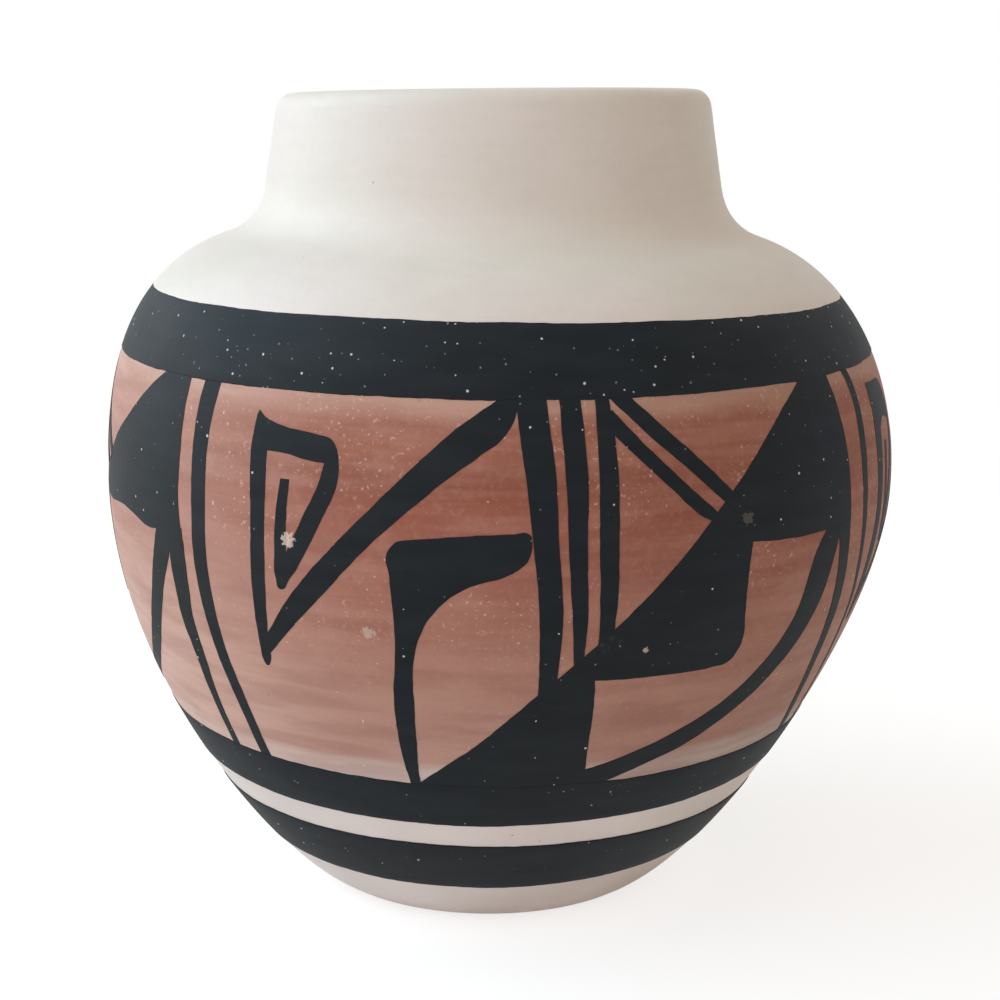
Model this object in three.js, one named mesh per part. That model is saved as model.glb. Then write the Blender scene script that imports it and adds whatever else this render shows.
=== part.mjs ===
// Painted bud vase: a hollow fired clay body with its glaze and slip coats, +Z up, millimetres.
// The origin is the middle of the foot, on the table.
import * as THREE from 'three';

// Sizes of the clay body, before any coat
const VASE_HEIGHT = 100; // table to the top of the glazed lip
const FOOT_RADIUS = 20.7; // outer edge of the ring that stands on the table
const FOOT_RING_WIDTH = 5.6;
const FOOT_RECESS = 1.6; // how far the underside lies above the table inside the ring
const BELLY_RADIUS = 49.1;
const BELLY_HEIGHT = 52.9; // height of the widest point
const NECK_BASE_RADIUS = 28.6; // corner where the lines of shoulder and neck would meet
const NECK_BASE_HEIGHT = 83.3;
const COVE_REACH = 4.7; // length of wall, each side of that corner, that the cove rounds off
const LIP_RADIUS = 26.35; // outside of the neck, just under the rounded lip
const WALL = 3.2;
const FLOOR = 3.6; // thickness over the recess
const FLOOR_CORNER = 4; // reach of the rounding between wall and floor inside

// Shape of the wall between those points
const FOOT_SLOPE = THREE.MathUtils.degToRad(13); // rise of the wall where it leaves the foot
const FOOT_FLARE = 0.25; // share of the spread from foot to belly that keeps near that slope
const FULLNESS_BELOW = 0.41; // share of the height below the belly that stays near upright
const FULLNESS_ABOVE = 0.85; // the same above the belly
const SHOULDER_SLOPE = THREE.MathUtils.degToRad(20); // fall of the shoulder beside the neck
const SHOULDER_FLAT = 0.12; // share of the spread from neck to belly that keeps near that slope

// Heights of the painted rings, and of the bare clay under and between them, from the foot up
const BARE_FOOT_HEIGHT = 7.2;
const FOOT_BAND_HEIGHT = 7.6;
const BARE_STRIPE_HEIGHT = 3.2;
const LOWER_BAND_HEIGHT = 6.5;
const WASH_HEIGHT = 44.3;
const SHOULDER_BAND_HEIGHT = 7.4;

// Coats
const SLIP_THICKNESS = 0.3;
const GLAZE_THICKNESS = 0.4;
const GLAZE_TURN_IN = 8; // how far down inside the mouth the neck glaze runs
const COAT_GAP = 0.05; // clearance of each coat to the clay and to the next coat

// Fineness of the facets
const SIDES = 60;
const LIP_STEPS = 6;
const FLOOR_CORNER_STEPS = 3;
const CHORD_ERROR = 0.14; // the most that a straight facet leaves the curve by, seen from the side

const vec = (radius, height) => new THREE.Vector2(radius, height);

// Outside of the clay, from the foot's edge up to where the lip starts to round
function wallOutline() {
  const foot = vec(FOOT_RADIUS, 0);
  const belly = vec(BELLY_RADIUS, BELLY_HEIGHT);
  const neckBase = vec(NECK_BASE_RADIUS, NECK_BASE_HEIGHT);
  const downShoulder = vec(Math.cos(SHOULDER_SLOPE), -Math.sin(SHOULDER_SLOPE));

  // The neck's line touches the half round of the lip
  const lipCentre = vec(LIP_RADIUS - WALL / 2, VASE_HEIGHT - GLAZE_THICKNESS - COAT_GAP - WALL / 2);
  const toLip = lipCentre.clone().sub(neckBase);
  const leanOut = Math.asin(WALL / 2 / toLip.length());
  const upNeck = toLip.clone().normalize().rotateAround(vec(0, 0), -leanOut);
  const neckTop = neckBase.clone().addScaledVector(upNeck, toLip.length() * Math.cos(leanOut));
  const coveStart = neckBase.clone().addScaledVector(downShoulder, COVE_REACH);
  const coveEnd = neckBase.clone().addScaledVector(upNeck, COVE_REACH);

  const footRun = FOOT_FLARE * (BELLY_RADIUS - FOOT_RADIUS);
  const leavingFoot = vec(Math.cos(FOOT_SLOPE), Math.sin(FOOT_SLOPE)).multiplyScalar(footRun);
  const riseBelow = vec(0, FULLNESS_BELOW * BELLY_HEIGHT);
  const riseAbove = vec(0, FULLNESS_ABOVE * (coveStart.y - BELLY_HEIGHT));
  const shoulderRun = SHOULDER_FLAT * (BELLY_RADIUS - coveStart.x);
  const onShoulder = coveStart.clone().addScaledVector(downShoulder, shoulderRun);

  const path = new THREE.CurvePath();
  const aboveFoot = foot.clone().add(leavingFoot);
  const underBelly = belly.clone().sub(riseBelow);
  const overBelly = belly.clone().add(riseAbove);
  path.add(new THREE.CubicBezierCurve(foot, aboveFoot, underBelly, belly));
  path.add(new THREE.CubicBezierCurve(belly, overBelly, onShoulder, coveStart));
  path.add(new THREE.QuadraticBezierCurve(coveStart, neckBase, coveEnd));
  path.add(new THREE.LineCurve(coveEnd, neckTop));
  return path;
}

const outline = wallOutline();
const outlineLength = outline.getLength();

// A station is a point of the clay's surface, with the direction that leads away from the clay.
// Stations of the wall are found by their share of the outline's length, from foot to lip.
function outsideStation(share) {
  const tangent = outline.getTangent(share);
  return { point: outline.getPoint(share), away: vec(tangent.y, -tangent.x) };
}

function insideStation(share) {
  const { point, away } = outsideStation(share);
  return { point: point.addScaledVector(away, -WALL), away: away.negate() };
}

// Share at which the wall reaches a height, found by halving
function shareAtHeight(stationAt, height) {
  let low = 0;
  let high = 1;
  for (let step = 0; step < 40; step += 1) {
    const middle = (low + high) / 2;
    if (stationAt(middle).point.y < height) {
      low = middle;
    } else {
      high = middle;
    }
  }
  return (low + high) / 2;
}

// Stations from one share to another, upwards or downwards, with one at each joint of the outline
function wallSection(stationAt, start, end) {
  const joints = outline.getCurveLengths().map((length) => length / outlineLength);
  const low = Math.min(start, end);
  const high = Math.max(start, end);
  const stops = [low, ...joints.filter((joint) => joint > low && joint < high), high];
  const shares = [low];
  for (let i = 1; i < stops.length; i += 1) {
    const run = (stops[i] - stops[i - 1]) * outlineLength;
    const turn = outline.getTangent(stops[i - 1]).angleTo(outline.getTangent(stops[i]));
    const steps = Math.max(1, Math.ceil(Math.sqrt((run * turn) / (8 * CHORD_ERROR))));
    for (let k = 1; k <= steps; k += 1) {
      shares.push(THREE.MathUtils.lerp(stops[i - 1], stops[i], k / steps));
    }
  }
  if (start > end) {
    shares.reverse();
  }
  return shares.map(stationAt);
}

// Half round over the lip, from the outside of the wall to the inside
function lipSection() {
  const { point, away } = outsideStation(1);
  const centre = point.clone().addScaledVector(away, -WALL / 2);
  const stations = [];
  for (let k = 0; k <= LIP_STEPS; k += 1) {
    const direction = away.clone().rotateAround(vec(0, 0), (Math.PI * k) / LIP_STEPS);
    stations.push({ point: centre.clone().addScaledVector(direction, WALL / 2), away: direction });
  }
  return stations;
}

// Rounded corner between wall and floor inside, then the floor as far as the axis
function floorSection(wallEnd) {
  const floorHeight = FOOT_RECESS + FLOOR;
  const downWall = vec(wallEnd.away.y, -wallEnd.away.x);
  const fall = (floorHeight - wallEnd.point.y) / downWall.y;
  const corner = wallEnd.point.clone().addScaledVector(downWall, fall);
  const rounding = new THREE.QuadraticBezierCurve(
    wallEnd.point,
    corner,
    vec(corner.x - FLOOR_CORNER, floorHeight),
  );
  const stations = [];
  for (let k = 0; k <= FLOOR_CORNER_STEPS; k += 1) {
    const tangent = rounding.getTangent(k / FLOOR_CORNER_STEPS);
    stations.push({
      point: rounding.getPoint(k / FLOOR_CORNER_STEPS),
      away: vec(tangent.y, -tangent.x),
    });
  }
  stations.push({ point: vec(0, floorHeight), away: vec(0, 1) });
  return stations;
}

// Sections that follow each other share the station where they meet
const joined = (...sections) => sections.flatMap((section, i) => (i === 0 ? section : section.slice(1)));

// The skin of the clay in its sections: up the outside, over the lip and down the inside
const ringHeights = [
  BARE_FOOT_HEIGHT,
  FOOT_BAND_HEIGHT,
  BARE_STRIPE_HEIGHT,
  LOWER_BAND_HEIGHT,
  WASH_HEIGHT,
  SHOULDER_BAND_HEIGHT,
];
const ringEdges = [0];
let ringTop = 0;
for (const height of ringHeights) {
  ringTop += height;
  ringEdges.push(shareAtHeight(outsideStation, ringTop));
}
const ring = (i) => wallSection(outsideStation, ringEdges[i], ringEdges[i + 1]);
const bareFoot = ring(0);
const footBand = ring(1);
const bareStripe = ring(2);
const lowerBand = ring(3);
const wash = ring(4);
const shoulderBand = ring(5);
const neckOutside = wallSection(outsideStation, ringEdges[6], 1);
const turnInShare = shareAtHeight(insideStation, VASE_HEIGHT - GLAZE_TURN_IN);
const floorShare = shareAtHeight(insideStation, FOOT_RECESS + FLOOR + FLOOR_CORNER);
const lip = lipSection();
const neckInside = wallSection(insideStation, 1, turnInShare);
const innerWall = wallSection(insideStation, turnInShare, floorShare);
const innerFloor = floorSection(insideStation(floorShare));

// A profile turned about the vase's axis, which the lathe has upright along Y and the vase along Z
function turned(name, profile, look) {
  const material = new THREE.MeshStandardMaterial(look);
  const mesh = new THREE.Mesh(new THREE.LatheGeometry(profile, SIDES), material);
  mesh.name = name;
  mesh.rotation.x = Math.PI / 2;
  return mesh;
}

// Clay body: from the middle of the underside, round the foot ring, then along the whole skin
function clayBody() {
  const ringInside = FOOT_RADIUS - FOOT_RING_WIDTH;
  const recessRadius = ringInside - FOOT_RECESS; // the recess closes in at 45 degrees
  const underside = [vec(0, FOOT_RECESS), vec(recessRadius, FOOT_RECESS), vec(ringInside, 0)];
  const outside = joined(bareFoot, footBand, bareStripe, lowerBand, wash, shoulderBand, neckOutside);
  const skin = joined(outside, lip, neckInside, innerWall, innerFloor);
  const profile = [...underside, ...skin.map((station) => station.point)];
  return turned('clay_body', profile, { color: '#d9cec3', roughness: 0.75, metalness: 0 });
}

// Coat over a section of skin, held clear of the clay and trimmed back from the coats beside it
function coat(name, section, thickness, look) {
  const stations = section.map(({ point, away }) => ({ point: point.clone(), away }));
  const last = stations.length - 1;
  const trim = (end, neighbour) => {
    const inwards = neighbour.point.clone().sub(end.point).normalize();
    end.point.addScaledVector(inwards, COAT_GAP / 2);
  };
  trim(stations[0], stations[1]);
  const endsOnAxis = stations[last].point.x === 0;
  if (!endsOnAxis) {
    trim(stations[last], stations[last - 1]);
  }
  const lifted = (distance) => (
    stations.map(({ point, away }) => point.clone().addScaledVector(away, distance))
  );
  const face = lifted(COAT_GAP + thickness);
  const back = lifted(COAT_GAP).reverse();
  return turned(name, [...face, ...back, face[0].clone()], look);
}

const BLACK_SLIP = { color: '#20262a', roughness: 0.85, metalness: 0 };
const TERRACOTTA_SLIP = { color: '#a5644f', roughness: 0.85, metalness: 0 };
const CREAM_GLAZE = { color: '#ddd3ca', roughness: 0.35, metalness: 0 };

const vase = new THREE.Group();
vase.add(
  clayBody(),
  coat('foot_band', footBand, SLIP_THICKNESS, BLACK_SLIP),
  coat('lower_band', lowerBand, SLIP_THICKNESS, BLACK_SLIP),
  coat('terracotta_wash', wash, SLIP_THICKNESS, TERRACOTTA_SLIP),
  coat('shoulder_band', shoulderBand, SLIP_THICKNESS, BLACK_SLIP),
  coat('neck_glaze', joined(neckOutside, lip, neckInside), GLAZE_THICKNESS, CREAM_GLAZE),
  coat('inner_glaze', joined(innerWall, innerFloor), GLAZE_THICKNESS, CREAM_GLAZE),
);

export default vase;
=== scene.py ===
import bisect
import functools
import math

import bpy
from mathutils import Matrix, Vector, noise


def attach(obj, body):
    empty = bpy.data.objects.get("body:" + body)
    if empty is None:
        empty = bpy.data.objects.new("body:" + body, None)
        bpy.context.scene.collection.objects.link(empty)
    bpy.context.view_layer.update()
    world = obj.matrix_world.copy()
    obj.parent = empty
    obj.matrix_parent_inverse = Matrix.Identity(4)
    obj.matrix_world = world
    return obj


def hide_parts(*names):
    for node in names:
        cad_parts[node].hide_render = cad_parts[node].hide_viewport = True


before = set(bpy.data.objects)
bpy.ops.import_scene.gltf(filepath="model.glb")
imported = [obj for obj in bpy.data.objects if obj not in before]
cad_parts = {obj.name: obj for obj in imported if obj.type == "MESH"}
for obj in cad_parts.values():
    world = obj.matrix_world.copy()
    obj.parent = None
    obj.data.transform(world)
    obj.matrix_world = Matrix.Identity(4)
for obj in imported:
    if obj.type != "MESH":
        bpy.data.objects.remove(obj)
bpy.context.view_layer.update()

# Painted bud vase: fine pieces in place of the plain clay and coats, and the brushwork on them.
# Lengths are in millimetres and turned into Blender's metres by MM. Angles round the pot are in
# degrees: angle 0 faces the camera, and they grow to the right of it.
MM = 0.001

# Sizes of the clay body. They follow the CAD model, but slip and glaze are thin here, as they are
# on a real pot, and the clay takes up the rest of the CAD coats' thickness.
VASE_HEIGHT = 100
FOOT_RADIUS = 20.7
FOOT_RING_WIDTH = 5.6
FOOT_RECESS = 1.6
FOOT_FACET = 0.3  # a narrow facet along both edges of the foot ring
BELLY_RADIUS = 49.25
BELLY_HEIGHT = 52.9
NECK_BASE_RADIUS = 28.8
NECK_BASE_HEIGHT = 83.5
COVE_REACH = 4.7  # how far the curve at the neck's base reaches to either side
LIP_RADIUS = 26.62
LIP_ROUNDING = 2.2  # height of the rounding over the lip
WALL = 3.7
FLOOR = 3.85
FLOOR_CORNER = 4  # reach of the curve between wall and floor
GLAZE_TURN_IN = 8  # how far under the lip the neck's glaze ends inside

# Curve of the wall: its slopes at the foot and the shoulder, and how long it keeps near to them.
# The fuller it is under or over the belly, the longer it runs upright there.
FOOT_SLOPE = math.radians(13)
FOOT_FLARE = 0.25
FULLNESS_BELOW = 0.42
FULLNESS_ABOVE = 0.85
SHOULDER_SLOPE = math.radians(20)
SHOULDER_FLAT = 0.12

# Heights of the painted rings
FOOT_BAND = (7.25, 14.65)
LOWER_BAND = (18.1, 24.15)
WASH = (24.3, 68.7)
SHOULDER_BAND = (68.7, 76)
GLAZE_START = 76.15

# How a ring's edges stray in the photograph: the climb of an edge to the right, and its rise at both
# sides. A band has one such pair for its low edge and one for its high edge.
LEVEL = (0, 0)
FOOT_BAND_STRAY = ((0.45, 0.8), LEVEL)
LOWER_BAND_STRAY = ((0.3, 1.2), (-0.25, 0.9))
SHOULDER_BAND_STRAY = ((0.31, 0), LEVEL)
GLAZE_STRAY = (-0.3, -0.65)
STRAY_FADE = 3  # a stray dies away over this height, where it has to

# Lift of each coat's back and face over the clay
COAT_GAP = 0.02
WASH_LIFT = 0.05
STROKE_GAP = 0.06
STROKE_LIFT = 0.08
LIFT_STEP = 0.003  # each kind of stroke lies this much over the one before it
BAND_LIFT = 0.145
GLAZE_LIFT = 0.18

# Edges of the coats
UNDERLAP = 0.7  # how far a coat runs on under the coat painted over its edge
TUCK = 0.9  # how far the strokes run in under the bands' edges
EDGE_ROUNDING = 0.12  # width over which a coat thins out to its edge
EDGE_SHARE = 0.3  # share of its thickness that is left at the very edge
NEAR_EDGE = (0, 0.02, 0.06)  # distances from the edge at which the thinning is drawn

# Hand work: how far the brush strays, and how far the throwing is out of true
SLOW_STRAY = 0.16
SLOW_WAVE = 8
QUICK_STRAY = 0.075
QUICK_WAVE = 1.2
BELLY_SWAY = 1.3  # the belly's centre lies this far to the right of the axis
SWAY_HEIGHT = 55
SWAY_REACH = 21
RIM_TILT = 0.57  # rise of the lip on the right, and its fall on the left
RIM_TILT_BACK = 0.69  # fall of the lip at the back, and its rise at the front
RIM_DROP = 0.48  # fall of the whole lip
HAND = 7  # seed of the brush's stray, which would otherwise differ from run to run
noise.seed_set(HAND)

# Fineness: steps along a curve, spacing of the faces along a profile, and their number round the pot
CURVE_STEPS = 80
LIP_STEPS = 20
CORNER_STEPS = 12
CLAY_SPACING = 1.5
COAT_SPACING = 1.2
CLAY_SIDES = 256
COAT_SIDES = 360
BAND_SIDES = 720
STROKE_GRID_ANGLE = 1.5
STROKE_GRID_HEIGHT = 1.6
SAME_PLACE = 1e-6  # points nearer than this count as one
SEAM_WIDTH = 2e-6  # and so do those on either side of a spin's seam
SMOOTH_UP_TO = math.radians(50)  # sharper edges stay crisp


def bezier(points, share):
    """A point of a Bezier curve, by drawing its control points together two by two."""
    while len(points) > 1:
        points = [start.lerp(end, share) for start, end in zip(points, points[1:])]
    return points[0]


def tangent(points, share):
    """The direction of a Bezier curve."""
    return bezier([end - start for start, end in zip(points, points[1:])], share).normalized()


def outside_curves():
    """The clay's outside from the foot's edge to the lip, as radius and height."""
    foot = Vector((FOOT_RADIUS, 0))
    belly = Vector((BELLY_RADIUS, BELLY_HEIGHT))
    neck_base = Vector((NECK_BASE_RADIUS, NECK_BASE_HEIGHT))
    down_shoulder = Vector((math.cos(SHOULDER_SLOPE), -math.sin(SHOULDER_SLOPE)))
    lip_height = VASE_HEIGHT - GLAZE_LIFT - LIP_ROUNDING
    to_lip = Vector((LIP_RADIUS - WALL / 2, lip_height)) - neck_base
    lean_out = math.asin(WALL / 2 / to_lip.length)
    up_neck = to_lip.normalized()
    up_neck.rotate(Matrix.Rotation(-lean_out, 2))
    neck_top = neck_base + up_neck * to_lip.length * math.cos(lean_out)
    cove_start = neck_base + down_shoulder * COVE_REACH
    cove_end = neck_base + up_neck * COVE_REACH
    foot_run = FOOT_FLARE * (BELLY_RADIUS - FOOT_RADIUS)
    leaving_foot = Vector((math.cos(FOOT_SLOPE), math.sin(FOOT_SLOPE))) * foot_run
    rise_below = Vector((0, FULLNESS_BELOW * BELLY_HEIGHT))
    rise_above = Vector((0, FULLNESS_ABOVE * (cove_start.y - BELLY_HEIGHT)))
    on_shoulder = down_shoulder * SHOULDER_FLAT * (BELLY_RADIUS - cove_start.x)
    return [
        [foot, foot + leaving_foot, belly - rise_below, belly],
        [belly, belly + rise_above, cove_start + on_shoulder, cove_start],
        [cove_start, neck_base, cove_end],
        [cove_end, neck_top],
    ]


def station_at(stations, marks, mark):
    """The station at a mark. Each station has a mark of its own, and they rise along the skin."""
    i = bisect.bisect_left(marks, mark, 1, len(marks) - 1)
    share = (mark - marks[i - 1]) / (marks[i] - marks[i - 1])
    point, away = stations[i - 1]
    next_point, next_away = stations[i]
    return point.lerp(next_point, share), away.lerp(next_away, share).normalized()


class Skin:
    """A run of the clay's surface. Each station of it is a point and the direction out of the clay."""

    def __init__(self, stations):
        self.stations = stations
        self.distances = [0]
        for (point, _), (next_point, _) in zip(stations, stations[1:]):
            self.distances.append(self.distances[-1] + (next_point - point).length)
        self.length = self.distances[-1]

    def at(self, distance):
        """The station at a distance along the skin."""
        return station_at(self.stations, self.distances, distance)

    def distance_at(self, height):
        """The distance at which the skin passes a height."""
        for i in range(1, len(self.stations)):
            before = self.stations[i - 1][0].y
            after = self.stations[i][0].y
            if min(before, after) <= height <= max(before, after):
                share = (height - before) / (after - before)
                return self.distances[i - 1] + share * (self.distances[i] - self.distances[i - 1])

    def section(self, start, end, spacing):
        """Evenly spaced stations from one distance to another."""
        steps = max(1, round((end - start) / spacing))
        return [self.at(start + (end - start) * k / steps) for k in range(steps + 1)]


def outside_skin():
    """From the foot's edge up to where the lip starts to round."""
    stations = []
    for curve in outside_curves():
        for k in range(CURVE_STEPS + 1):
            point = bezier(curve, k / CURVE_STEPS)
            direction = tangent(curve, k / CURVE_STEPS)
            if not stations or (point - stations[-1][0]).length > SAME_PLACE:
                stations.append((point, Vector((direction.y, -direction.x))))
    return Skin(stations)


def lip_section(skin):
    """The round over the lip: half an ellipse, taller than the wall's thickness."""
    point, away = skin.at(skin.length)
    up = Vector((-away.y, away.x))
    centre = point - away * WALL / 2
    stations = []
    for k in range(LIP_STEPS + 1):
        across = math.cos(math.pi * k / LIP_STEPS)
        rise = math.sin(math.pi * k / LIP_STEPS)
        place = centre + away * across * WALL / 2 + up * rise * LIP_ROUNDING
        direction = away * across * LIP_ROUNDING + up * rise * WALL / 2
        stations.append((place, direction.normalized()))
    return stations


def inside_skin(skin):
    """From the lip down the wall's inside, round the corner and across the floor to the axis."""
    floor_height = FOOT_RECESS + FLOOR
    wall = [(point - away * WALL, -away) for point, away in reversed(skin.stations)]
    wall = [station for station in wall if station[0].y > floor_height + FLOOR_CORNER]
    point, away = wall[-1]
    down_wall = Vector((away.y, -away.x))
    corner = point + down_wall * (floor_height - point.y) / down_wall.y
    curve = [point, corner, Vector((corner.x - FLOOR_CORNER, floor_height))]
    stations = list(wall)
    for k in range(1, CORNER_STEPS + 1):
        direction = tangent(curve, k / CORNER_STEPS)
        stations.append((bezier(curve, k / CORNER_STEPS), Vector((direction.y, -direction.x))))
    stations.append((Vector((0, floor_height)), Vector((0, 1))))
    return Skin(stations)


outside = outside_skin()
inside = inside_skin(outside)
lip = lip_section(outside)
outside_heights = [point.y for point, _ in outside.stations]


def outside_at(height):
    """The station of the outside at a height, for laying paint on it."""
    return station_at(outside.stations, outside_heights, height)


def round_the_pot(radius, angle, height):
    """A place given by its angle round the axis."""
    turn = math.radians(angle)
    return Vector((radius * math.sin(turn), -radius * math.cos(turn), height))


def brush_stray(place):
    """How far the brush strays at a place, sideways and upwards."""
    slow = noise.noise_vector(place / SLOW_WAVE)
    quick = noise.noise_vector(place / QUICK_WAVE)
    return slow * SLOW_STRAY + quick * QUICK_STRAY


def out_of_true(place):
    """A place of the turned pot moved to where the hand-thrown one has it."""
    sway = BELLY_SWAY * math.exp(-(((place.z - SWAY_HEIGHT) / SWAY_REACH) ** 2))
    up_neck = max(0, (place.z - NECK_BASE_HEIGHT) / (VASE_HEIGHT - NECK_BASE_HEIGHT))
    lift = (RIM_TILT * place.x - RIM_TILT_BACK * place.y) / LIP_RADIUS - RIM_DROP
    return Vector((place.x + sway, place.y, place.z + lift * up_neck))


def select_only(piece):
    """The piece alone is selected and active."""
    bpy.ops.object.select_all(action="DESELECT")
    piece.select_set(True)
    bpy.context.view_layer.objects.active = piece


def turned(name, profile, sides, closed):
    """A profile drawn by extruding a point along it, then spun round the pot's axis."""
    bpy.ops.object.select_all(action="DESELECT")
    bpy.ops.mesh.primitive_plane_add(size=MM)
    piece = bpy.context.object
    piece.name = name
    bpy.ops.object.mode_set(mode="EDIT")
    bpy.ops.mesh.select_all(action="SELECT")
    bpy.ops.mesh.merge(type="CENTER")
    bpy.ops.transform.translate(value=Vector((profile[0].x, 0, profile[0].y)) * MM)
    points = profile + [profile[0]] if closed else profile
    for point, next_point in zip(points, points[1:]):
        step = next_point - point
        move = {"value": Vector((step.x, 0, step.y)) * MM}
        bpy.ops.mesh.extrude_vertices_move(TRANSFORM_OT_translate=move)
    bpy.ops.mesh.select_all(action="SELECT")
    bpy.ops.mesh.remove_doubles(threshold=SAME_PLACE)
    bpy.ops.mesh.select_all(action="SELECT")
    bpy.ops.mesh.spin(steps=sides, angle=2 * math.pi, center=(0, 0, 0), axis=(0, 0, 1))
    bpy.ops.mesh.select_all(action="SELECT")
    bpy.ops.mesh.remove_doubles(threshold=SEAM_WIDTH)
    bpy.ops.mesh.normals_make_consistent(inside=False)
    bpy.ops.object.mode_set(mode="OBJECT")
    return piece


def coat_profile(stations, lift, round_start, round_end):
    """The face and back of a coat over a section of skin, thinned out to the edges that show."""
    total = Skin(stations)
    face = []
    for (point, away), distance in zip(stations, total.distances):
        to_edge = EDGE_ROUNDING
        if round_start:
            to_edge = min(to_edge, distance)
        if round_end:
            to_edge = min(to_edge, total.length - distance)
        fullness = math.sqrt(1 - (1 - to_edge / EDGE_ROUNDING) ** 2)
        share = EDGE_SHARE + (1 - EDGE_SHARE) * fullness
        face.append(point + away * (COAT_GAP + (lift - COAT_GAP) * share))
    back = [point + away * COAT_GAP for point, away in stations]
    return face, back


def painted_ring(name, low, high, lift, strays):
    """A ring of slip round the pot, with close stations along both of its edges."""
    start = outside.distance_at(low)
    end = outside.distance_at(high)
    stations = [outside.at(start + distance) for distance in NEAR_EDGE]
    stations += outside.section(start + EDGE_ROUNDING, end - EDGE_ROUNDING, COAT_SPACING)
    stations += [outside.at(end - distance) for distance in reversed(NEAR_EDGE)]
    face, back = coat_profile(stations, lift, True, True)
    piece = turned(name, face + back[::-1], BAND_SIDES, closed=True)
    stray_from_true(piece, low, high, *strays)
    return piece


def stray_from_true(piece, low, high, low_stray, high_stray, top=VASE_HEIGHT):
    """Lets a ring wander along the pot, with a stray of its own at either edge.

    It dies away just under the top, and nothing above moves.
    """
    for vertex in piece.data.vertices:
        place = vertex.co / MM
        if place.z > top:
            continue
        fade = min(1, (top - place.z) / STRAY_FADE)
        point, away = outside_at(place.z)
        share = min(1, max(0, (place.z - low) / (high - low)))
        climb, rise_at_sides = Vector(low_stray).lerp(Vector(high_stray), share)
        to_right = place.x / point.x
        stray = (brush_stray(place).z + climb * to_right + rise_at_sides * to_right**2) * fade
        up_skin = Vector((-away.y, away.x)) * stray
        outwards = Vector((place.x, place.y, 0)).normalized()
        vertex.co = (place + outwards * up_skin.x + Vector((0, 0, up_skin.y))) * MM


def finish_piece(piece, node, look):
    """Moves the finished mesh out of true, smooths it, and gives it its material and its place."""
    for vertex in piece.data.vertices:
        vertex.co = out_of_true(vertex.co / MM) * MM
    select_only(piece)
    bpy.ops.object.shade_smooth_by_angle(angle=SMOOTH_UP_TO)
    piece.data.materials.clear()
    piece.data.materials.append(look)
    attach(piece, "root")
    if node:
        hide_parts(node)


def tint(code):
    """The linear colour of a hex code."""
    linear = []
    for i in (1, 3, 5):
        part = int(code[i : i + 2], 16) / 255
        linear.append(part / 12.92 if part <= 0.04045 else ((part + 0.055) / 1.055) ** 2.4)
    return (*linear, 1)


class Reading:
    """A shader socket that can stand in a sum."""

    def __init__(self, nodes, socket):
        self.nodes = nodes
        self.socket = socket

    def __add__(self, other):
        return self.nodes.sum("ADD", self, other)

    def __sub__(self, other):
        return self.nodes.sum("SUBTRACT", self, other)

    def __rsub__(self, other):
        return self.nodes.sum("SUBTRACT", other, self)

    def __mul__(self, other):
        return self.nodes.sum("MULTIPLY", self, other)

    def __truediv__(self, other):
        return self.nodes.sum("DIVIDE", self, other)

    __radd__ = __add__
    __rmul__ = __mul__

    def rises(self, low, high):
        """0 up to low, 1 from high on, and smooth between them."""
        limits = {"Value": self, "From Min": low, "From Max": high}
        return self.nodes.node("MapRange", {"interpolation_type": "SMOOTHSTEP"}, limits, "Result")


class Nodes:
    """The nodes of a material or of the world, and the ways to add to them."""

    def __init__(self, owner):
        owner.use_nodes = True
        self.tree = owner.node_tree

    def node(self, kind, settings, inputs, *outputs):
        """A node of a kind, with its settings made first and then its sockets filled."""
        made = self.tree.nodes.new("ShaderNode" + kind)
        for name, value in settings.items():
            if name == "stops":
                while len(made.color_ramp.elements) < len(value):
                    made.color_ramp.elements.new(1)
                for element, (position, colour) in zip(made.color_ramp.elements, value):
                    element.position = position
                    element.color = tint(colour)
            else:
                setattr(made, name, value)
        for name, value in inputs.items():
            self.feed(made.inputs[name], value)
        readings = [Reading(self, made.outputs[name]) for name in outputs]
        return readings[0] if len(readings) == 1 else readings

    def feed(self, socket, value):
        """A link or a plain value into a socket."""
        if isinstance(value, Reading):
            self.tree.links.new(value.socket, socket)
        else:
            socket.default_value = value

    def sum(self, operation, first, second):
        """Two values, or a value and a number, put together."""
        return self.node("Math", {"operation": operation}, {0: first, 1: second}, "Value")

    def blend(self, share, first, second):
        """One colour turned into another by a share."""
        settings = {"data_type": "RGBA", "blend_type": "MIX", "clamp_factor": True}
        return self.node("Mix", settings, {0: share, 6: first, 7: second}, 2)

    def seen(self):
        """1 where the camera looks, straight, in gloss or through glass, and 0 for light on the pot."""
        rays = ("Is Camera Ray", "Is Glossy Ray", "Is Transmission Ray")
        straight, in_gloss, through = self.node("LightPath", {}, {}, *rays)
        return self.sum("MAXIMUM", self.sum("MAXIMUM", straight, in_gloss), through)

    def show(self, output, share, first, second):
        """Sends a mix of two shaders to the output node of a name."""
        mixed = self.node("MixShader", {}, {0: share, 1: first, 2: second}, "Shader")
        self.feed(self.tree.nodes[output].inputs["Surface"], mixed)


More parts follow.
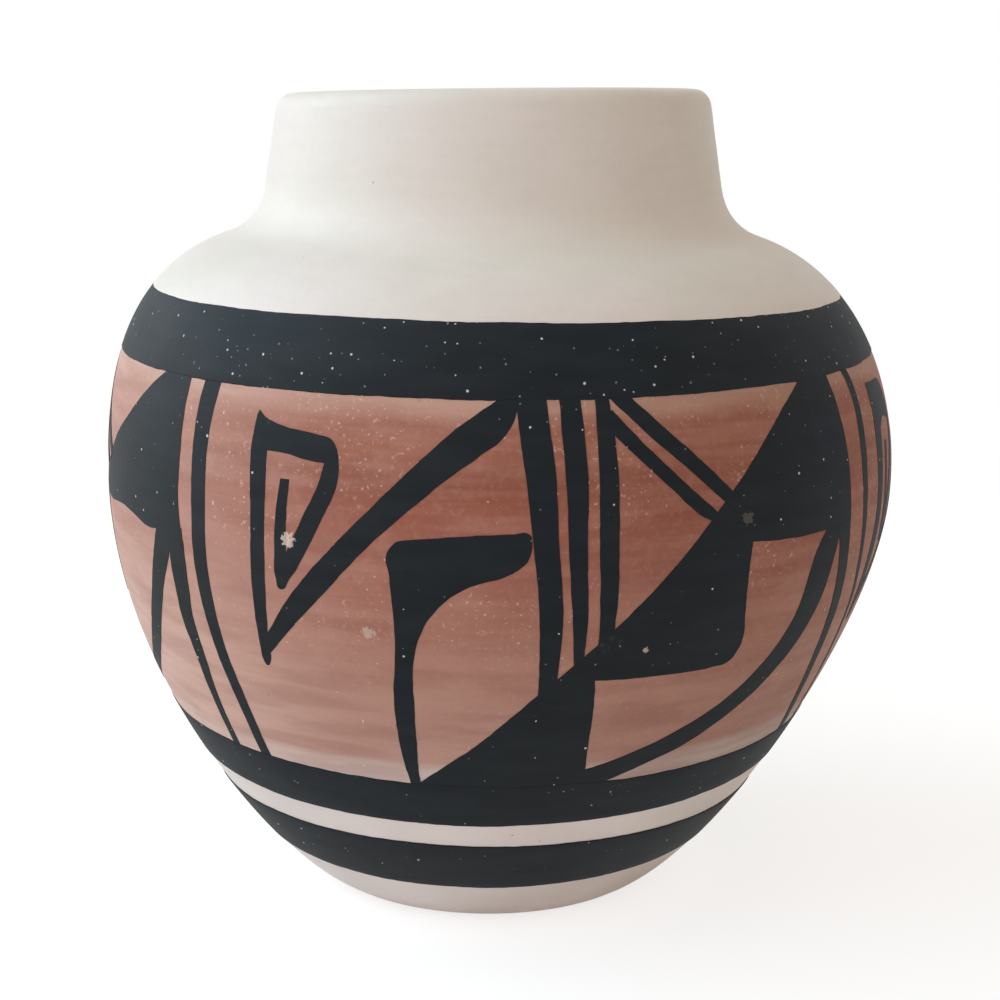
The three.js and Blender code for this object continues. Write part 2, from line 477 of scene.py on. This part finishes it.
class Look(Nodes):
    """A finish: a principled shader and the patterns that feed it."""

    def __init__(self, name):
        self.material = bpy.data.materials.new(name)
        super().__init__(self.material)
        self.shader = self.tree.nodes["Principled BSDF"]
        self.place = self.node("TexCoord", {}, {}, "Object")

    @functools.cached_property
    def crumpled(self):
        """Places stirred a little, so that round marks come out ragged."""
        wave, swing = 0.5, 0.16
        crease = self.node("TexNoise", {}, {"Vector": self.place, "Scale": 1 / (wave * MM)}, "Color")
        sockets = {0: crease, "Scale": swing * MM}
        move = self.node("VectorMath", {"operation": "SCALE"}, sockets, "Vector")
        return self.node("VectorMath", {"operation": "ADD"}, {0: self.place, 1: move}, "Vector")

    def along(self, axis):
        """How far a place lies along an axis, in millimetres."""
        return self.node("SeparateXYZ", {}, {"Vector": self.place}, axis) / MM

    def height_share(self, low, high):
        """How far a place lies between two heights."""
        return (self.along("Z") - low) / (high - low)

    def cloud(self, wave, detail=2.0, flatten=1.0):
        """Noise of a wavelength in millimetres, drawn out sideways where flatten is over 1."""
        spread = self.node("Mapping", {}, {"Vector": self.place, "Scale": (1, 1, flatten)}, "Vector")
        sockets = {"Vector": spread, "Scale": 1 / (wave * MM), "Detail": detail, "Roughness": 0.55}
        return self.node("TexNoise", {}, sockets, 0)

    def specks(self, apart, radius, share, upright=1.0):
        """Small marks of about a radius. The share is how many of the places for one are taken."""
        stretch = {"Vector": self.crumpled, "Scale": (1, 1, 1 / upright)}
        spread = self.node("Mapping", {}, stretch, "Vector")
        sockets = {"Vector": spread, "Scale": 1 / (apart * MM)}
        distance, chance = self.node("TexVoronoi", {}, sockets, "Distance", "Color")
        taken, size = self.node("SeparateColor", {}, {"Color": chance}, "Red", "Green")
        shown = self.sum("GREATER_THAN", taken, 1 - share)
        # Sizes run from half the radius to 1.4 times, and the outer part of a mark fades
        edge = distance / (size * 0.9 + 0.5) * (apart / radius)
        return (1 - edge.rises(0.6, 1)) * shown

    def finish(self, colour, roughness, bumps, specular):
        """Feeds the shader. Bumps are pairs of a height pattern and its depth in millimetres."""
        normal = None
        for pattern, depth in bumps:
            sockets = {"Height": pattern, "Distance": depth * MM, "Strength": 1}
            if normal:
                sockets["Normal"] = normal
            normal = self.node("Bump", {}, sockets, "Normal")
        self.feed(self.shader.inputs["Base Color"], colour)
        self.feed(self.shader.inputs["Roughness"], roughness)
        self.feed(self.shader.inputs["Specular IOR Level"], specular)
        if normal:
            self.feed(self.shader.inputs["Normal"], normal)
        return self.material


# Places where the paint has flaked or rubbed through: angle, height, radius and strength
FLAKES = (
    (-27.5, 52.9, 1.8, 0.8),
    (-16.5, 43.4, 1.8, 0.4),
    (19.7, 41.4, 0.9, 0.7),
    (32.6, 55.3, 1.7, 0.12),
)


def flaked(look):
    """How far the paint has come away, most in the middle of each flaked place."""
    ragged = look.cloud(0.5, 4)
    total = 0
    for angle, height, radius, strength in FLAKES:
        place = out_of_true(round_the_pot(outside_at(height)[0].x, angle, height)) * MM
        off = look.node("VectorMath", {"operation": "DISTANCE"}, {0: look.place, 1: place}, "Value")
        near = 1 - off.rises(0.1 * radius * MM, radius * MM)
        # The threshold is so high that the ragged noise alone never reaches it
        total = (near * 0.6 + ragged).rises(0.88, 0.97) * strength + total
    return total


def clay_look():
    """Pale unglazed clay, a little pink, with a fine dry grain."""
    look = Look("bare_clay")
    patches = look.cloud(14, 3).rises(0.3, 0.7)
    grain = look.cloud(0.7, 3)
    colour = look.blend(patches, tint("#f0e4db"), tint("#e8dcd3"))
    specks = look.specks(1.7, 0.14, 0.3)
    colour = look.blend(specks * 0.6, colour, tint("#8d7a6c"))
    return look.finish(colour, 0.62 + 0.12 * patches, [(grain, 0.02)], 0.3)


def black_slip_look():
    """Matte blue-black slip with brush drag, pinholes down to the pale clay and rubbed patches."""
    look = Look("black_slip")
    drag = look.cloud(9, 4, flatten=5)
    patches = look.cloud(11, 3)
    colour = look.blend(drag.rises(0.3, 0.75), tint("#12171a"), tint("#1b2023"))
    rubbed = look.cloud(13, 2).rises(0.66, 0.8)
    scuff = look.cloud(0.8, 5).rises(0.55, 0.7) * rubbed
    colour = look.blend(scuff * 0.22, colour, tint("#7d8386"))
    gathered = look.cloud(17, 2).rises(0.35, 0.6)
    more_above = look.height_share(*WASH).rises(0.8, 1)
    pinholes = look.specks(1.1, 0.14, 0.12 + 0.26 * more_above)
    fine_pinholes = look.specks(0.9, 0.11, 0.15 + 0.35 * more_above) * (0.4 + 0.6 * gathered)
    colour = look.blend(pinholes * 0.9, colour, tint("#cfcec9"))
    colour = look.blend(fine_pinholes * 0.6, colour, tint("#93979a"))
    colour = look.blend(flaked(look), colour, tint("#cdbcab"))
    grain = look.cloud(0.5, 3)
    roughness = 0.58 + 0.14 * patches
    return look.finish(colour, roughness, [(grain, 0.012), (drag, 0.03)], 0.17)


def terracotta_look():
    """Thin terracotta wash, laid on in level strokes that leave paler and darker streaks."""
    look = Look("terracotta_wash")
    rise = look.height_share(*WASH) + (look.cloud(30, 2, flatten=2) - 0.5) * 0.05
    tones = [
        (0.0, "#d9c9bf"),
        (0.05, "#d3bfb4"),
        (0.075, "#bd9282"),
        (0.25, "#b58977"),
        (0.42, "#a87562"),
        (0.6, "#9f6553"),
        (0.735, "#965540"),
        (0.8, "#8c503b"),
        (0.875, "#9c6049"),
        (0.94, "#9f6652"),
        (0.975, "#bb8f7b"),
        (1.0, "#bd9884"),
    ]
    colour = look.node("ValToRGB", {"stops": tones}, {"Fac": rise}, "Color")
    # Painted light: a painted sheen lightens the wash towards the left, most of all low down, and
    # painted shade darkens it towards the right
    across = look.along("X")
    low_down = 1 - look.height_share(*WASH).rises(0.1, 0.7)
    painted_sheen_on_left = (0 - across).rises(10, 42) * (0.3 + 0.55 * low_down)
    painted_shade_on_right = across.rises(-5, 22)
    colour = look.blend(painted_sheen_on_left, colour, tint("#dfb8a7"))
    colour = look.blend(painted_shade_on_right * 0.35, colour, tint("#7e4c3a"))
    # Marks of the brush
    streaks = look.cloud(15, 5, flatten=7)
    long_streaks = look.cloud(26, 4, flatten=14)
    blotches = look.cloud(8, 4, flatten=1.6)
    mottle = look.cloud(0.8, 4)
    colour = look.blend(streaks.rises(0.35, 0.7) * 0.32, colour, tint("#84493a"))
    colour = look.blend(long_streaks.rises(0.42, 0.62) * 0.2, colour, tint("#c08f7d"))
    colour = look.blend(blotches.rises(0.5, 0.8) * 0.2, colour, tint("#cf9f8c"))
    colour = look.blend(mottle.rises(0.45, 0.75) * 0.14, colour, tint("#c79683"))
    # Small faults, most of them gathered in patches of the upper half
    upper = look.height_share(*WASH).rises(0.3, 0.6)
    gathered = look.cloud(13, 2).rises(0.4, 0.6)
    pits = look.cloud(0.5, 3).rises(0.6, 0.7) * (0.15 + 0.85 * gathered) * (0.3 + 0.7 * upper)
    dust = look.specks(0.9, 0.14, 0.1 + 0.6 * gathered * upper)
    nicks = look.specks(1.5, 0.14, 0.08 + 0.25 * gathered * upper, upright=2.5)
    spots = look.specks(2.4, 0.3, 0.25)
    colour = look.blend(pits * 0.5, colour, tint("#d9b5a4"))
    colour = look.blend(dust * 0.55, colour, tint("#dcb5a3"))
    colour = look.blend(nicks * 0.7, colour, tint("#e0c6b6"))
    colour = look.blend(spots * 0.25, colour, tint("#7c4638"))
    colour = look.blend(flaked(look), colour, tint("#dac7b8"))
    grain = look.cloud(0.6, 3)
    return look.finish(colour, 0.6 + 0.12 * streaks, [(grain, 0.012), (streaks, 0.02)], 0.35)


def glaze_look():
    """Satin cream glaze with faint pink and green-grey clouds and a few dark specks."""
    look = Look("cream_glaze")
    clouds = look.cloud(24, 3)
    colour = look.blend(clouds.rises(0.35, 0.65), tint("#e3d8cf"), tint("#ddd5c8"))
    pink = look.cloud(34, 2, flatten=0.6).rises(0.5, 0.7)
    colour = look.blend(pink * 0.6, colour, tint("#e2d2cb"))
    wheel_marks = look.cloud(6, 4, flatten=5)
    colour = look.blend(wheel_marks.rises(0.3, 0.8) * 0.22, colour, tint("#cfc4b8"))
    mottle = look.cloud(1.1, 3)
    colour = look.blend(mottle.rises(0.4, 0.8) * 0.15, colour, tint("#d0c3b7"))
    # Painted highlight: the glaze is made lighter in a band round the cove at the neck's base
    height = look.along("Z")
    painted_highlight_at_cove = height.rises(80, 84) * (1 - height.rises(85, 90))
    colour = look.blend(painted_highlight_at_cove * 0.12, colour, tint("#f3e9df"))
    specks = look.specks(2.6, 0.16, 0.2)
    colour = look.blend(specks * 0.5, colour, tint("#8b8073"))
    ripple = look.cloud(9, 2, flatten=2)
    return look.finish(colour, 0.43 + 0.1 * clouds, [(ripple, 0.04), (wheel_marks, 0.012)], 0.28)


# The painter's four repeats of the pattern differ in width. Of each: where it starts round the pot,
# and its scale across.
REPEATS = {
    "front": (-42, 1),
    "right": (59.5, 0.77),
    "back": (136.5, 0.745),
    "left": (-149, 1.06),
}
ALL_ROUND = tuple(REPEATS)

# Brushwork, drawn flat on a sheet where one degree round the pot is one unit across, and heights go
# up. Across, the places are measured from the start of a repeat of the pattern.
TOP = WASH[1] + TUCK
BOTTOM = WASH[0] - TUCK


def corner(across, height):
    return across, height, "VECTOR"


def bend(across, height):
    return across, height, "AUTO"


def brush_line(*stops):
    """Outline of one pull of a brush through stops, each a place and the line's width there."""
    places = [Vector(stop[:2]) for stop in stops]
    left, right = [], []
    for i, (across, height, width) in enumerate(stops):
        run = places[min(i + 1, len(places) - 1)] - places[max(i - 1, 0)]
        side = Vector((-run.y, run.x)).normalized() * width / 2
        point = corner if i in (0, len(stops) - 1) else bend
        left.append(point(*(places[i] + side)))
        right.append(point(*(places[i] - side)))
    return left + right[::-1]


HOOK_WITH_LONG_ARM = [
    corner(9, 65.8),
    bend(8.6, 63.2),
    bend(8.7, 55.3),
    bend(8.7, 46),
    bend(9, 40.3),
    bend(9.2, 38.4),
    bend(9.8, 37.6),
    bend(10.4, 38.2),
    corner(10.7, 39.3),
    bend(17.5, 45.6),
    bend(25.3, 52.8),
    bend(33.8, 59.5),
    bend(39.7, 63.3),
    bend(42.6, 65.2),
    bend(44.1, 67.2),
    corner(44.8, TOP),
    corner(43.4, TOP),
    bend(36.5, 65.7),
    bend(29.5, 60.3),
    bend(23.1, 54.8),
    bend(15.2, 47.3),
    corner(10.6, 41.8),
    bend(10.8, 46.3),
    bend(10.9, 53.9),
    corner(11.1, 62.2),
    bend(14.6, 62.1),
    bend(17.3, 61.7),
    corner(19.7, 61.5),
    bend(18.7, 58.9),
    bend(17.2, 56.4),
    corner(14.3, 51.5),
    bend(14.3, 56.4),
    corner(14.7, 59.4),
    corner(13.3, 59.4),
    bend(12.7, 55.5),
    bend(12.5, 51),
    bend(12.5, 48.5),
    bend(13.1, 47.2),
    bend(14.8, 48.7),
    bend(16.9, 51.5),
    bend(19.6, 55.9),
    bend(21.4, 59.4),
    bend(21.6, 61.6),
    bend(20.8, 63.8),
    bend(18.7, 64.4),
    bend(12.6, 65.1),
    bend(10.6, 65.6),
    corner(9.3, 66.3),
]

BENT_ARM = [
    corner(30.1, BOTTOM),
    bend(29, 29),
    bend(28.6, 35),
    bend(28.9, 43),
    bend(28.2, 50.1),
    bend(27.9, 52.1),
    bend(28.9, 53.6),
    bend(29.9, 53.9),
    bend(37.5, 54.7),
    bend(43.6, 55.1),
    bend(45.5, 55.1),
    bend(45.8, 54.4),
    bend(45.5, 52.5),
    bend(44.2, 51.2),
    bend(37.5, 48.9),
    bend(34.5, 46.9),
    bend(32.2, 43.7),
    bend(31.4, 40.6),
    bend(31.4, 35),
    bend(31.5, 29),
    corner(31.5, BOTTOM),
]

STEPPED_FIELD = [
    corner(29.9, BOTTOM),
    bend(35.9, 27.1),
    bend(40.5, 30.3),
    bend(48.1, 36.5),
    bend(56.8, 44.1),
    bend(65.4, 52),
    bend(72.3, 58.4),
    bend(81.4, 65.6),
    corner(88.2, TOP),
    corner(94.3, TOP),
    bend(94.9, 66.5),
    bend(95.4, 62.5),
    bend(95.8, 57),
    bend(96.2, 52.9),
    corner(96.2, 50.4),
    corner(93.4, 50.6),
    corner(90, 52.2),
    bend(85.1, 52.1),
    corner(75.5, 52.5),
    bend(75.5, 49),
    bend(76.2, 44.5),
    bend(77, 41.5),
    bend(76.7, 39.7),
    bend(75.9, 38.7),
    bend(72.7, 38.2),
    bend(67.1, 38),
    corner(55.5, 38.1),
    bend(56, 35),
    bend(56.5, 30.4),
    corner(57.3, BOTTOM),
]

ARC = [
    corner(55.5, 26),
    bend(61.1, 27.1),
    bend(70.8, 30.2),
    bend(80.7, 35.1),
    bend(86.2, 41.5),
    bend(88, 49.3),
    corner(90.3, 52.6),
    corner(93.7, 52.6),
    bend(93, 49),
    bend(91, 41.2),
    bend(85.7, 34.8),
    bend(76.2, 29.2),
    bend(66.1, 25.7),
    corner(58.5, BOTTOM),
    corner(55.5, BOTTOM),
]

# The left repeat has a field and an arc of its own, and the right one a squarer hook
LEFT_FIELD = [
    corner(30, BOTTOM),
    bend(40.5, 30.3),
    bend(48, 36.5),
    bend(57, 44.2),
    bend(66, 51.5),
    bend(76, 59.2),
    bend(81.4, 62.6),
    bend(85, 65.2),
    corner(92.3, TOP),
    corner(96.8, TOP),
    bend(96.5, 64.7),
    bend(96.4, 58.9),
    bend(96.3, 55.3),
    corner(96.8, 51),
    corner(94, 50),
    corner(91.2, 50.8),
    bend(89.2, 50.6),
    bend(84.2, 51.4),
    bend(80.5, 51.8),
    bend(73, 51.2),
    corner(69, 51.3),
    bend(69.2, 46),
    bend(70, 41.5),
    bend(69.3, 38.9),
    bend(66, 38.2),
    corner(55.5, 38.1),
    bend(56.3, 30.5),
    corner(57.3, BOTTOM),
]

SLIM_ARC = [
    corner(55.5, 26),
    bend(64, 27.8),
    bend(73, 30.6),
    bend(80.7, 35),
    bend(86.1, 40.9),
    bend(89.4, 46.8),
    corner(91.2, 51.2),
    corner(94.3, 51.2),
    bend(94, 48.7),
    bend(91.6, 44.6),
    bend(88.4, 39.5),
    bend(84.6, 35.1),
    bend(77, 30),
    bend(67, 26),
    corner(59, BOTTOM),
    corner(55.5, BOTTOM),
]

SQUARE_HOOK = [
    corner(6.8, 66.8),
    bend(7, 63.5),
    bend(6.6, 59.5),
    bend(6.8, 55),
    bend(6.6, 48),
    bend(7, 41),
    bend(8, 37.8),
    bend(9, 38.2),
    corner(10, 39.8),
    bend(17.5, 45.6),
    bend(25.3, 52.8),
    bend(33.8, 59.5),
    bend(39.7, 63.3),
    bend(42.6, 65.2),
    bend(44.1, 67.2),
    corner(44.8, TOP),
    corner(43.4, TOP),
    bend(36.5, 65.6),
    bend(29.5, 60.3),
    bend(23.1, 54.8),
    bend(15.1, 47.3),
    corner(9.8, 42.2),
    bend(9.8, 47),
    bend(10, 55),
    corner(10.8, 61.2),
    corner(13.5, 62.3),
    bend(17, 61.9),
    corner(19.7, 61.5),
    bend(17.2, 56.4),
    corner(14.3, 51.5),
    bend(14.3, 56.4),
    corner(14.7, 59.4),
    corner(13, 59.4),
    bend(12.6, 55.5),
    bend(12.5, 48.5),
    bend(13.1, 47.2),
    bend(16.9, 51.5),
    bend(21.4, 59.4),
    bend(21.6, 61.6),
    bend(20.8, 64),
    bend(18.5, 66),
    corner(13, 66.6),
]

SINGLE_LINE = brush_line(
    (0.3, TOP, 3.3),
    (-0.6, 63, 2.9),
    (-0.7, 54.1, 2.7),
    (-0.3, 46.4, 2.6),
    (0.7, 40.1, 2.3),
    (2.7, 30.8, 2.2),
    (3.6, BOTTOM, 2.2),
)

TAIL_LINE = brush_line(
    (94.6, 52.5, 3),
    (95.9, 47.7, 2.6),
    (97.8, 40.7, 2.5),
    (99.3, 31.9, 2),
    (102.1, BOTTOM, 1.8),
)

LEFT_UPRIGHT = brush_line(
    (46.1, TOP, 3.9),
    (46.5, 64, 3.9),
    (47.3, 56, 3.2),
    (48.6, 44.9, 2.9),
    (49.2, 37, 2.3),
    (49.3, 34, 2.1),
)

MIDDLE_UPRIGHT = brush_line(
    (51.1, TOP, 2.7),
    (51.2, 62, 2.8),
    (51.5, 52.9, 2.3),
    (52.4, 44, 1.8),
    (53.1, 39, 1),
)

RIGHT_UPRIGHT = brush_line(
    (55.3, TOP, 1.8),
    (55.3, 60.9, 2.5),
    (55.5, 50.1, 2.3),
    (56.1, 41, 1.8),
)

UPPER_SLANT = brush_line(
    (56.7, TOP, 1.8),
    (60.8, 66.3, 1.9),
    (66.9, 61.7, 1.8),
    (73.3, 56.6, 1.5),
)

LOWER_SLANT = brush_line(
    (55.8, 66.8, 2),
    (59.6, 63.5, 1.7),
    (64, 59.9, 1.6),
    (67.9, 56.9, 1.6),
    (70.5, 55.3, 0.9),
)

LEFT_TAIL_LINE = brush_line(
    (95.5, 52, 2.8),
    (95.7, 48, 3.3),
    (95.9, 44, 3),
    (96, 41, 2.6),
    (96.8, 37, 2.2),
    (97.1, 31, 1.6),
    (97.5, BOTTOM, 1.5),
)

RIGHT_SINGLE_LINE = brush_line(
    (-2, TOP, 2.4),
    (-0.8, 66.5, 2.4),
    (-0.8, 61, 2.6),
    (-0.8, 56, 2.3),
    (-0.3, 52, 1.9),
    (0.6, 48.5, 1.6),
    (2, 45, 1.4),
    (3.6, 42, 1.3),
    (5.2, 37, 1.4),
    (7, 30, 1.6),
    (8.3, BOTTOM, 1.6),
)

# Each stroke of the frieze, and the repeats it belongs to
STROKES = (
    ("single_line", SINGLE_LINE, ("front", "back", "left")),
    ("slanting_line", RIGHT_SINGLE_LINE, ("right",)),
    ("hook_with_long_arm", HOOK_WITH_LONG_ARM, ("front", "back", "left")),
    ("square_hook_with_long_arm", SQUARE_HOOK, ("right",)),
    ("bent_arm", BENT_ARM, ALL_ROUND),
    ("stepped_field", STEPPED_FIELD, ("front", "right", "back")),
    ("low_stepped_field", LEFT_FIELD, ("left",)),
    ("arc", ARC, ("front", "right", "back")),
    ("slim_arc", SLIM_ARC, ("left",)),
    ("tail_line", TAIL_LINE, ("front", "right", "back")),
    ("broad_tail_line", LEFT_TAIL_LINE, ("left",)),
    ("left_upright", LEFT_UPRIGHT, ALL_ROUND),
    ("middle_upright", MIDDLE_UPRIGHT, ALL_ROUND),
    ("right_upright", RIGHT_UPRIGHT, ALL_ROUND),
    ("upper_slant", UPPER_SLANT, ALL_ROUND),
    ("lower_slant", LOWER_SLANT, ALL_ROUND),
)


def cut_sheet(direction, reach, spacing):
    """Straight cuts through the sheet being edited, over all the places that it reaches."""
    for k in range(math.floor(min(reach) / spacing), math.ceil(max(reach) / spacing) + 1):
        bpy.ops.mesh.select_all(action="SELECT")
        place = Vector(direction) * k * spacing * MM
        bpy.ops.mesh.bisect(plane_co=place, plane_no=direction, threshold=SAME_PLACE)


def flat_stroke(name, outline):
    """A stroke on the flat sheet, cut into small faces so that it can follow the pot."""
    curve = bpy.data.curves.new(name, "CURVE")
    curve.dimensions = "2D"
    curve.fill_mode = "BOTH"
    curve.resolution_u = 8
    spline = curve.splines.new("BEZIER")
    spline.bezier_points.add(len(outline) - 1)
    spline.use_cyclic_u = True
    for point, (across, height, handle) in zip(spline.bezier_points, outline):
        point.co = Vector((across, height, 0)) * MM
        point.handle_left_type = handle
        point.handle_right_type = handle
    piece = bpy.data.objects.new(name, curve)
    bpy.context.scene.collection.objects.link(piece)
    select_only(piece)
    bpy.ops.object.convert(target="MESH")
    bpy.ops.object.mode_set(mode="EDIT")
    cut_sheet((1, 0, 0), [across for across, _, _ in outline], STROKE_GRID_ANGLE)
    cut_sheet((0, 1, 0), [height for _, height, _ in outline], STROKE_GRID_HEIGHT)
    bpy.ops.object.mode_set(mode="OBJECT")
    return piece


def lay_on_pot(sheet, name, start, scale, lift):
    """A copy of a flat stroke, given its thickness and laid on the outside of the pot."""
    select_only(sheet)
    bpy.ops.object.duplicate()
    piece = bpy.context.object
    piece.name = name
    thickness = piece.modifiers.new("paint", "SOLIDIFY")
    thickness.thickness = (lift - STROKE_GAP) * MM
    thickness.offset = 1
    bpy.ops.object.modifier_apply(modifier=thickness.name)
    for vertex in piece.data.vertices:
        across, height, over = vertex.co / MM
        angle = start + across * scale
        point, _ = outside_at(height)
        stray = brush_stray(round_the_pot(point.x, angle, height))
        angle += math.degrees(stray.x / point.x)
        point, away = outside_at(height + stray.y)
        point += away * (STROKE_GAP + over)
        vertex.co = round_the_pot(point.x, angle, point.y) * MM
    return piece


# Camera at the photograph's place: about 250 mm from the pot's axis, a little higher than its lip
CAMERA_DISTANCE = 247.2
CAMERA_HEIGHT = 102
LOOKING_DOWN = 12.34
TURNED_RIGHT = 0.32
ROLLED_LEFT = 0.69
LENS = 70.6
SENSOR_WIDTH = 36

view = bpy.data.cameras.new("view")
view.lens = LENS
view.sensor_width = SENSOR_WIDTH
view.clip_start = 0.01
camera = bpy.data.objects.new("view", view)
bpy.context.scene.collection.objects.link(camera)
turn = Matrix.Rotation(math.radians(-TURNED_RIGHT), 4, "Z")
tilt = Matrix.Rotation(math.radians(90 - LOOKING_DOWN), 4, "X")
roll = Matrix.Rotation(math.radians(ROLLED_LEFT), 4, "Z")
stand = Matrix.Translation(Vector((0, -CAMERA_DISTANCE, CAMERA_HEIGHT)) * MM)
camera.matrix_world = stand @ turn @ tilt @ roll
bpy.context.scene.camera = camera

clay = clay_look()
black_slip = black_slip_look()
terracotta = terracotta_look()
glaze = glaze_look()

# Clay body
ring_inside = FOOT_RADIUS - FOOT_RING_WIDTH
underside = [
    Vector((0, FOOT_RECESS)),
    Vector((ring_inside - FOOT_RECESS, FOOT_RECESS)),
    Vector((ring_inside, 0)),
    Vector((ring_inside + FOOT_FACET, 0)),
    Vector((FOOT_RADIUS - FOOT_FACET, 0)),
]
clay_stations = outside.section(0, outside.length, CLAY_SPACING)[:-1] + lip[:-1]
clay_stations += inside.section(0, inside.length, CLAY_SPACING)
clay_profile = underside + [point for point, _ in clay_stations]
pot = turned("thrown_clay", clay_profile, CLAY_SIDES, closed=False)
finish_piece(pot, "clay_body", clay)

# Painted rings: each black band lies over the edges of the wash
wash_edges = (WASH[0] - UNDERLAP, WASH[1] + UNDERLAP)
wash = painted_ring("terracotta_ground", *wash_edges, WASH_LIFT, (LEVEL, LEVEL))
finish_piece(wash, "terracotta_wash", terracotta)
under_glaze = SHOULDER_BAND[1] + 2 * UNDERLAP
for name, node, low, high, strays in (
    ("foot_ring_of_black", "foot_band", *FOOT_BAND, FOOT_BAND_STRAY),
    ("lower_ring_of_black", "lower_band", *LOWER_BAND, LOWER_BAND_STRAY),
    ("shoulder_ring_of_black", "shoulder_band", SHOULDER_BAND[0], under_glaze, SHOULDER_BAND_STRAY),
):
    ring = painted_ring(name, low, high, BAND_LIFT, strays)
    finish_piece(ring, node, black_slip)

# Neck glaze over the top edge of the black, the lip and a little way down inside
glaze_start = outside.distance_at(GLAZE_START)
glaze_stations = [outside.at(glaze_start + distance) for distance in NEAR_EDGE]
glaze_stations += outside.section(glaze_start + EDGE_ROUNDING, outside.length, COAT_SPACING)
glaze_stations += lip[1:-1]
turn_in = inside.distance_at(VASE_HEIGHT - GLAZE_TURN_IN)
glaze_stations += inside.section(0, turn_in, COAT_SPACING)
face, back = coat_profile(glaze_stations, GLAZE_LIFT, True, False)
neck = turned("neck_and_lip_glaze", face + back[::-1], COAT_SIDES, closed=True)
stray_from_true(neck, GLAZE_START, GLAZE_START + 1, GLAZE_STRAY, GLAZE_STRAY, GLAZE_START + 4)
finish_piece(neck, "neck_glaze", glaze)

# Glaze of the inside, as far as the middle of its floor
inner_stations = inside.section(turn_in, inside.length, CLAY_SPACING)
face, back = coat_profile(inner_stations, GLAZE_LIFT, False, False)
lining = turned("inner_lining_glaze", back[::-1] + face, CLAY_SIDES, closed=False)
finish_piece(lining, "inner_glaze", glaze)

# The frieze
for layer, (name, outline, repeats) in enumerate(STROKES):
    sheet = flat_stroke(name, outline)
    lift = STROKE_LIFT + LIFT_STEP * layer
    for repeat in repeats:
        stroke = lay_on_pot(sheet, f"{name}_{repeat}", *REPEATS[repeat], lift)
        finish_piece(stroke, None, black_slip)
    bpy.data.objects.remove(sheet)

# Floor: pale, shaded round the pot, and white to the camera further off. Near the pot, half of what
# the camera sees is the floor's own glow. Far off all of it is, at the strength of white.
WHITE = (1, 1, 1, 1)
FLOOR_SIZE = 8  # metres
FLOOR_DROP = 0.02
FLOOR_COLOUR = (0.84, 0.83, 0.82, 1)
SHADOW_FADES = (0.07, 0.3)  # metres from the pot's axis
GLOW = 1.46
FAR_GLOW = (0.685, 0.685, 0.685, 1)

floor_look = Look("pale_floor")
off = floor_look.node("VectorMath", {"operation": "LENGTH"}, {0: floor_look.place}, "Value")
fading = off.rises(*SHADOW_FADES)
floor_look.feed(floor_look.shader.inputs["Base Color"], FLOOR_COLOUR)
floor_look.feed(floor_look.shader.inputs["Roughness"], 0.9)
floor_look.feed(floor_look.shader.inputs["Specular IOR Level"], 0.1)
bright = floor_look.blend(fading, WHITE, FAR_GLOW)
glow = floor_look.node("Emission", {}, {"Color": bright, "Strength": GLOW}, "Emission")
shaded = Reading(floor_look, floor_look.shader.outputs["BSDF"])
floor_look.show("Material Output", floor_look.seen() * (0.5 + 0.5 * fading), shaded, glow)
bpy.ops.object.select_all(action="DESELECT")
bpy.ops.mesh.primitive_plane_add(size=FLOOR_SIZE, location=(0, 0, -FLOOR_DROP * MM))
floor = bpy.context.object
floor.name = "floor"
floor.data.materials.append(floor_look.material)

# Backdrop: white where it is seen, softer where it lights the pot
SURROUND_COLOUR = (0.505, 0.45, 0.38, 1)

world = bpy.data.worlds.new("studio")
bpy.context.scene.world = world
backdrop = Nodes(world)
surround = backdrop.tree.nodes["Background"]
backdrop.feed(surround.inputs["Color"], SURROUND_COLOUR)
white = backdrop.node("Background", {}, {"Color": WHITE}, "Background")
backdrop.show("World Output", backdrop.seen(), Reading(backdrop, surround.outputs[0]), white)

# Soft lamps: flat ones that stand round the pot and face its middle, with sizes in metres
LAMP_DISTANCE = 0.75
POT_MIDDLE = Vector((0, 0, VASE_HEIGHT / 2)) * MM


def soft_lamp(name, angle, elevation, size, power, colour):
    """A flat lamp at an angle round the pot and over the level."""
    lamp = bpy.data.lights.new(name, "AREA")
    lamp.shape = "RECTANGLE"
    lamp.size, lamp.size_y = size
    lamp.energy = power
    lamp.color = colour
    holder = bpy.data.objects.new(name, lamp)
    bpy.context.scene.collection.objects.link(holder)
    rise = math.radians(elevation)
    side = round_the_pot(math.cos(rise), angle, math.sin(rise))
    holder.location = POT_MIDDLE + side * LAMP_DISTANCE
    holder.rotation_euler = side.to_track_quat("Z", "Y").to_euler()
    return holder


soft_lamp("window", angle=-85, elevation=42, size=(1.1, 0.6), power=5.8, colour=(0.59, 0.83, 1))
soft_lamp("room", angle=-25, elevation=12, size=(0.6, 0.6), power=0.95, colour=(1, 0.72, 0.9))
haze = soft_lamp(
    "window_haze", angle=-100, elevation=10, size=(1, 0.7), power=4.6, colour=(0.88, 0.95, 1)
)
haze.visible_diffuse = False  # it shows only as a sheen

bpy.context.scene.view_settings.view_transform = "Standard"
